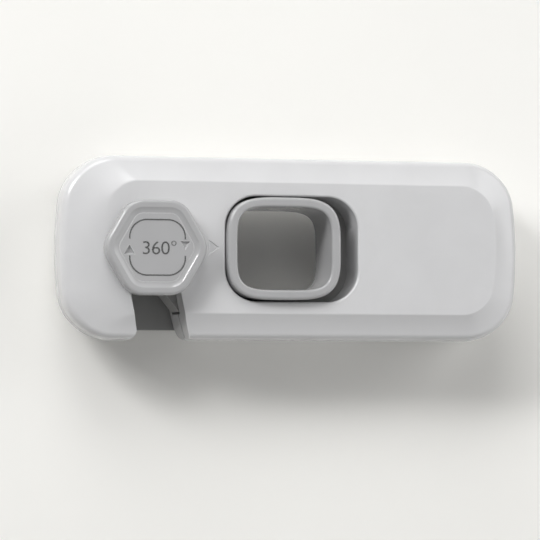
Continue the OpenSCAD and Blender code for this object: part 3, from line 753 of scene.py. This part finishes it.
# %% Broken edges on the carried-over solids
WELD, EDGE_ANGLE, EDGE_SEGMENTS = 1e-6, 40, 3
edge_widths = {"latch_carriage": 0.25, "base_plate": 0.4, "strike_plate": 0.4, "pivot_bush": 0.2,
               "friction_washer": 0.08, "pivot_washer": 0.12, "knob_washer": 0.06,
               "pivot_screw": 0.15, "knob_screw": 0.1, "case_screws": 0.12}
for name, width in edge_widths.items():
    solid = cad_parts[name]
    weld = solid.modifiers.new("weld", "WELD")
    weld.merge_threshold = WELD
    broken = solid.modifiers.new("broken edges", "BEVEL")
    broken.width, broken.segments, broken.limit_method = width * MM, EDGE_SEGMENTS, "ANGLE"
    broken.angle_limit = math.radians(EDGE_ANGLE)
    normals = solid.modifiers.new("weighted normals", "WEIGHTED_NORMAL")
    normals.keep_sharp = False
print("solids with broken edges:", len(edge_widths))

# %% [markdown]
# Materials come next. Two small helpers serve them all: one turns a colour as it is written, in
# sRGB, into the linear light that a shader works in, and one adds a node with its settings and
# links. Every pattern's scale is one over its size in metres.

# %% Colour and node helpers
def linear(hex_code):
    parts = [int(hex_code[i:i + 2], 16) / 255 for i in (1, 3, 5)]
    return tuple(c / 12.92 if c <= 0.04045 else ((c + 0.055) / 1.055) ** 2.4 for c in parts) + (1.0,)


def add_node(tree, kind, links=None, values=None, **settings):
    node = tree.nodes.new(kind)
    for name, value in settings.items():
        setattr(node, name, value)
    for name, value in (values or {}).items():
        node.inputs[name].default_value = value
    for name, socket in (links or {}).items():
        tree.links.new(socket, node.inputs[name])
    return node


WHITE, WHITE_FLOW = "#D2D2D3", "#CFCFD0"
print("the casing's white in linear light:", [round(c, 3) for c in linear(WHITE)])

# %% [markdown]
# The casing is ABS, injection moulded in a mould that was spark-eroded to a fine satin. To the eye
# that is a soft, slightly broken highlight, a trace of flow in the colour and the gloss, and edges
# that handling has rubbed a little paler. A Bevel node finds those edges: its normal leaves the
# face's own only near a corner. The real grain is about a tenth of a millimetre, which no pixel
# here can hold, so it is drawn at half a millimetre.

# %% Moulded plastic
EDGE_WEAR_MM, FLOW_MM, RUBBED, GLOSS_SWING = 0.25, 11.0, "#F2F2F2", 0.03


def moulded(name, shade, streak, roughness, ior, grain_mm, grain_depth_mm, flow_mm=FLOW_MM):
    material = bpy.data.materials.new(name)
    material.use_nodes = True
    tree = material.node_tree
    tree.nodes.clear()
    place = add_node(tree, "ShaderNodeTexCoord")
    flow = add_node(tree, "ShaderNodeTexNoise", {"Vector": place.outputs["Object"]},
                    {"Scale": 1 / (flow_mm * MM), "Detail": 3.0, "Roughness": 0.55, "Distortion": 0.6})
    tone = add_node(tree, "ShaderNodeValToRGB", {"Fac": flow.outputs["Fac"]})
    low, high = tone.color_ramp.elements
    low.position, high.position = 0.3, 0.7
    low.color, high.color = linear(streak), linear(shade)
    edges = add_node(tree, "ShaderNodeBevel", values={"Radius": EDGE_WEAR_MM * MM}, samples=4)
    faces = add_node(tree, "ShaderNodeNewGeometry")
    flat = add_node(tree, "ShaderNodeVectorMath",
                    {0: edges.outputs["Normal"], 1: faces.outputs["Normal"]}, operation="DOT_PRODUCT")
    worn = add_node(tree, "ShaderNodeMapRange", {"Value": flat.outputs["Value"]},
                    {"From Min": 0.99, "From Max": 0.85, "To Min": 0.0, "To Max": 0.5})
    rubbed = add_node(tree, "ShaderNodeMix", {"Factor": worn.outputs["Result"], "A": tone.outputs["Color"]},
                      {"B": linear(RUBBED)}, data_type="RGBA", blend_type="SCREEN")
    grain = add_node(tree, "ShaderNodeTexNoise", {"Vector": place.outputs["Object"]},
                     {"Scale": 1 / (grain_mm * MM), "Detail": 2.0})
    gloss = add_node(tree, "ShaderNodeMapRange", {"Value": flow.outputs["Fac"]},
                     {"From Min": 0.3, "From Max": 0.7,
                      "To Min": roughness - GLOSS_SWING, "To Max": roughness + GLOSS_SWING})
    dents = add_node(tree, "ShaderNodeBump", {"Height": grain.outputs["Fac"]},
                     {"Strength": 0.5, "Distance": grain_depth_mm * MM})
    skin = add_node(tree, "ShaderNodeBsdfPrincipled",
                    {"Base Color": rubbed.outputs["Result"], "Roughness": gloss.outputs["Result"],
                     "Normal": dents.outputs["Normal"]}, {"IOR": ior})
    add_node(tree, "ShaderNodeOutputMaterial", {"Surface": skin.outputs["BSDF"]})
    print("material:", name)
    return material


white_abs = moulded("white satin ABS", WHITE, WHITE_FLOW, 0.22, 1.54, 0.5, 0.001)

# %% [markdown]
# The same recipe, in other colours and grains, makes the rest: the smoother grey ABS of the ring and
# the knob, the acetal of the bolt, which is duller and slides well, the grained dark ABS of the
# plates, the cream nylon of the bush and the matt ink of the print. Each kind of plastic has an IOR
# of its own.

# %% The other plastics and the ink
grey_abs = moulded("grey satin ABS", "#AAAAAB", "#A7A7A8", 0.19, 1.54, 0.45, 0.001)
grey_acetal = moulded("grey acetal", "#9C9C9B", "#959594", 0.34, 1.48, 0.6, 0.003)
dark_abs = moulded("dark grey grained ABS", "#868685", "#7E7E7D", 0.5, 1.54, 0.7, 0.02)
plain_nylon = moulded("natural nylon", "#E4DFD0", "#DCD6C4", 0.42, 1.53, 0.8, 0.006)
ink = moulded("dark grey print ink", "#3C3C3C", "#353535", 0.55, 1.5, 0.3, 0.003, 2.0)

# %% [markdown]
# The screws and washers are zinc-plated steel, barrel plated, so the finish is a soft grey mirror
# with faint clouds about a millimetre wide and fine dents from the tumbling. The springs are drawn
# wire: a little darker and glossier, with a finer texture.

# %% Zinc-plated steel and drawn wire
DENT_MM, CLOUD_DULLER, CLEAR_GLOSSIER = 0.004, 0.08, 0.05


def steel(name, shade, cloud, roughness, cloud_mm, dent_size_mm):
    material = bpy.data.materials.new(name)
    material.use_nodes = True
    tree = material.node_tree
    tree.nodes.clear()
    place = add_node(tree, "ShaderNodeTexCoord")
    clouds = add_node(tree, "ShaderNodeTexNoise", {"Vector": place.outputs["Object"]},
                      {"Scale": 1 / (cloud_mm * MM), "Detail": 4.0, "Distortion": 0.4})
    tone = add_node(tree, "ShaderNodeValToRGB", {"Fac": clouds.outputs["Fac"]})
    low, high = tone.color_ramp.elements
    low.position, high.position = 0.35, 0.65
    low.color, high.color = linear(cloud), linear(shade)
    gloss = add_node(tree, "ShaderNodeMapRange", {"Value": clouds.outputs["Fac"]},
                     {"From Min": 0.3, "From Max": 0.7,
                      "To Min": roughness + CLOUD_DULLER, "To Max": roughness - CLEAR_GLOSSIER})
    texture = add_node(tree, "ShaderNodeTexNoise", {"Vector": place.outputs["Object"]},
                       {"Scale": 1 / (dent_size_mm * MM), "Detail": 2.0})
    dents = add_node(tree, "ShaderNodeBump", {"Height": texture.outputs["Fac"]},
                     {"Strength": 0.4, "Distance": DENT_MM * MM})
    skin = add_node(tree, "ShaderNodeBsdfPrincipled",
                    {"Base Color": tone.outputs["Color"], "Roughness": gloss.outputs["Result"],
                     "Normal": dents.outputs["Normal"]}, {"Metallic": 1.0})
    add_node(tree, "ShaderNodeOutputMaterial", {"Surface": skin.outputs["BSDF"]})
    print("material:", name)
    return material


zinc_steel = steel("zinc-plated steel", "#D4D6D8", "#BFC3C6", 0.3, 1.0, 0.2)
spring_wire = steel("drawn spring steel", "#C9CACC", "#A9ABAE", 0.26, 0.8, 0.12)

# %% [markdown]
# The pads are closed-cell acrylic foam: soft, matt and dark, with cells about half a millimetre
# across that show on the cut edge. A Voronoi pattern is made of such cells, and its distance from
# each cell's middle serves as colour and as relief.

# %% Acrylic foam
CELL_MM, CELL_DEPTH_MM = 0.5, 0.06
foam = bpy.data.materials.new("acrylic foam")
foam.use_nodes = True
tree = foam.node_tree
tree.nodes.clear()
place = add_node(tree, "ShaderNodeTexCoord")
cells = add_node(tree, "ShaderNodeTexVoronoi", {"Vector": place.outputs["Object"]},
                 {"Scale": 1 / (CELL_MM * MM)})
tone = add_node(tree, "ShaderNodeValToRGB", {"Fac": cells.outputs["Distance"]})
low, high = tone.color_ramp.elements
low.color, high.color = linear("#3E3E40"), linear("#5B5B5D")
dents = add_node(tree, "ShaderNodeBump", {"Height": cells.outputs["Distance"]},
                 {"Strength": 0.7, "Distance": CELL_DEPTH_MM * MM})
skin = add_node(tree, "ShaderNodeBsdfPrincipled",
                {"Base Color": tone.outputs["Color"], "Normal": dents.outputs["Normal"]},
                {"Roughness": 0.85, "IOR": 1.45})
add_node(tree, "ShaderNodeOutputMaterial", {"Surface": skin.outputs["BSDF"]})
print("material:", foam.name)

# %% [markdown]
# Each finish now goes on its pieces. A name stands for a CAD solid that was carried over, and takes
# the place of the plain material that the solid was packed with.

# %% Finishes on the pieces
finishes = {white_abs: [front_shell, back_shell], grey_abs: [pull_ring, knob, cap], ink: lines + [number],
            grey_acetal: ["latch_carriage"], dark_abs: ["strike_plate", "base_plate"],
            plain_nylon: ["pivot_bush", "friction_washer"], foam: pads, spring_wire: [top_coil, low_coil],
            zinc_steel: ["case_screws", "pivot_washer", "pivot_screw", "knob_washer", "knob_screw"]}
for material, pieces in finishes.items():
    for piece in pieces:
        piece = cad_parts[piece] if isinstance(piece, str) else piece
        piece.data.materials.clear()
        piece.data.materials.append(material)
print("finishes:", len(finishes))

# %% [markdown]
# The lock hangs on an upright surface, so the scene's pale floor stands upright too: a sheet of
# paper right behind the pads, which takes the shadow. Seen from behind, the paper is clear and lets
# the lamps through, so the back of the lock can be looked at as well. Only behind the finger opening
# does it stop the light, as a solid surface would, or the hole would glow. The sheet is large, so its
# own sizes are in metres.

# %% Pale paper behind
WIDE, TALL, BEHIND = 1.6, 1.1, 0.0004
CLOUD_MM, STOPS_LIGHT_MM = 40, 17
paper = bpy.data.materials.new("pale paper")
paper.use_nodes = True
tree = paper.node_tree
tree.nodes.clear()
place = add_node(tree, "ShaderNodeTexCoord")
clouds = add_node(tree, "ShaderNodeTexNoise", {"Vector": place.outputs["Object"]},
                  {"Scale": 1 / (CLOUD_MM * MM), "Detail": 4.0})
tone = add_node(tree, "ShaderNodeValToRGB", {"Fac": clouds.outputs["Fac"]})
low, high = tone.color_ramp.elements
low.color, high.color = linear("#F7F6F2"), linear("#FAF9F5")
sheet = add_node(tree, "ShaderNodeBsdfPrincipled", {"Base Color": tone.outputs["Color"]},
                 {"Roughness": 0.9, "IOR": 1.3})
side = add_node(tree, "ShaderNodeNewGeometry")
path = add_node(tree, "ShaderNodeLightPath")
from_hole = add_node(tree, "ShaderNodeVectorMath", {0: side.outputs["Position"]},
                     {1: to_frame((SLOT_X, 0, -BEHIND / MM))}, operation="DISTANCE")
past_hole = add_node(tree, "ShaderNodeMath", {0: from_hole.outputs["Value"]},
                     {1: STOPS_LIGHT_MM * MM}, operation="GREATER_THAN")
lets_light = add_node(tree, "ShaderNodeMath",
                      {0: past_hole.outputs["Value"], 1: path.outputs["Is Shadow Ray"]}, operation="MULTIPLY")
open_side = add_node(tree, "ShaderNodeMath",
                     {0: side.outputs["Backfacing"], 1: lets_light.outputs["Value"]}, operation="MAXIMUM")
clear = add_node(tree, "ShaderNodeBsdfTransparent")
mixed = add_node(tree, "ShaderNodeMixShader",
                 {"Fac": open_side.outputs["Value"], 1: sheet.outputs["BSDF"], 2: clear.outputs["BSDF"]})
add_node(tree, "ShaderNodeOutputMaterial", {"Surface": mixed.outputs["Shader"]})

mesh = bpy.data.meshes.new("paper")
mesh.from_pydata([(x, BEHIND, z) for z in (-TALL, TALL) for x in (-WIDE, WIDE)], [], [(0, 1, 3, 2)])
paper_sheet = bpy.data.objects.new("paper", mesh)
bpy.context.scene.collection.objects.link(paper_sheet)
mesh.materials.append(paper)
print("the paper looks along", [round(c, 2) for c in mesh.polygons[0].normal])

# %% [markdown]
# The camera stands to the left of the lock and a little below it, with a long lens. Its three turns
# and its distance were found by fitting the edges of the arm, the knob and the ring. They are given
# in the arm's own frame, and carried over by the same conversion.

# %% Camera
YAW, PITCH, ROLL, DISTANCE = 14.24, -2.785, 0.085, 700.0
FRAME_PX, FOCAL_PX, SENSOR, CLIP_NEAR = 540, 2805.5, 36.0, 0.01
aim = Vector((-6.83, -5.47, 21.5))
axes = (Matrix.Rotation(math.radians(ROLL), 3, "Z") @ Matrix.Rotation(math.radians(PITCH), 3, "X")
        @ Matrix.Rotation(math.radians(YAW), 3, "Y"))
lens = bpy.data.cameras.new("camera")
lens.sensor_width, lens.lens, lens.clip_start = SENSOR, FOCAL_PX * SENSOR / FRAME_PX, CLIP_NEAR
camera = bpy.data.objects.new("camera", lens)
bpy.context.scene.collection.objects.link(camera)
turned = Matrix([(row.x, -row.z, row.y) for row in axes]).transposed()
camera.matrix_world = Matrix.Translation(to_frame(aim + DISTANCE * axes[2])) @ turned.to_4x4()
bpy.context.scene.camera = camera
print("camera at", camera.matrix_world.translation)

# %% [markdown]
# The light is a plain studio set of round soft boxes, 1.2 to 1.3 metres away and turned to the lock.
# The key box hangs high in front, with a wider, weaker one below it. A box and a small spot at the
# left draw the bright lines along the edges. Two panels at the right and one below fill the shadows,
# and the last one, behind, shines through the paper's clear back into the gap round the plates. The
# levels are kept where a colour renders about as it is written.

# %% Lamps
LIT_MIDDLE = Vector((-0.038, -0.02, 0.0))


def soft_box(name, place, size, power):
    lamp = bpy.data.lights.new(name, "AREA")
    lamp.shape, lamp.size, lamp.energy = "DISK", size, power
    box = bpy.data.objects.new(name, lamp)
    bpy.context.scene.collection.objects.link(box)
    box.location = LIT_MIDDLE + Vector(place)
    box.rotation_euler = Vector(place).to_track_quat("Z", "Y").to_euler()
    print("lamp:", name, power, "W")


soft_box("key box", (-0.22, -0.56, 1.04), 0.65, 4.1)
soft_box("front box", (-0.29, -0.78, 0.86), 0.9, 3.3)
soft_box("left box", (-0.89, -0.55, 0.59), 0.4, 5.8)
soft_box("left spot", (-0.72, -0.69, 0.67), 0.26, 3.5)
soft_box("right panel", (0.94, -0.59, 0.47), 0.9, 4.4)
soft_box("low right panel", (0.99, -0.53, -0.43), 1.2, 4.4)
soft_box("floor panel", (0.03, -0.75, -0.93), 1.2, 3.2)
soft_box("back panel", (0.35, 1.15, 0.45), 0.6, 4.5)

# %% [markdown]
# The surround is a pale room that the camera sees past the paper, and that shows in gloss and
# through clear things. It adds no light of its own to a matt surface, so the lamps alone set the
# levels.

# %% Surround
UNSEEN_LEVEL, SEEN_LEVEL = 0.0, 0.93
world = bpy.data.worlds.new("surround")
bpy.context.scene.world = world
world.use_nodes = True
tree = world.node_tree
tree.nodes.clear()
path = add_node(tree, "ShaderNodeLightPath")
seen = add_node(tree, "ShaderNodeMath",
                {0: path.outputs["Is Camera Ray"], 1: path.outputs["Is Transmission Ray"]},
                operation="MAXIMUM")
seen = add_node(tree, "ShaderNodeMath",
                {0: seen.outputs["Value"], 1: path.outputs["Is Glossy Ray"]}, operation="MAXIMUM")
level = add_node(tree, "ShaderNodeMapRange", {"Value": seen.outputs["Value"]},
                 {"To Min": UNSEEN_LEVEL, "To Max": SEEN_LEVEL})
room = add_node(tree, "ShaderNodeBackground", {"Strength": level.outputs["Result"]},
                {"Color": linear("#FFFFFE")})
add_node(tree, "ShaderNodeOutputWorld", {"Surface": room.outputs["Background"]})
bpy.context.scene.view_settings.view_transform = "Standard"
print("surround level where it is seen:", SEEN_LEVEL)
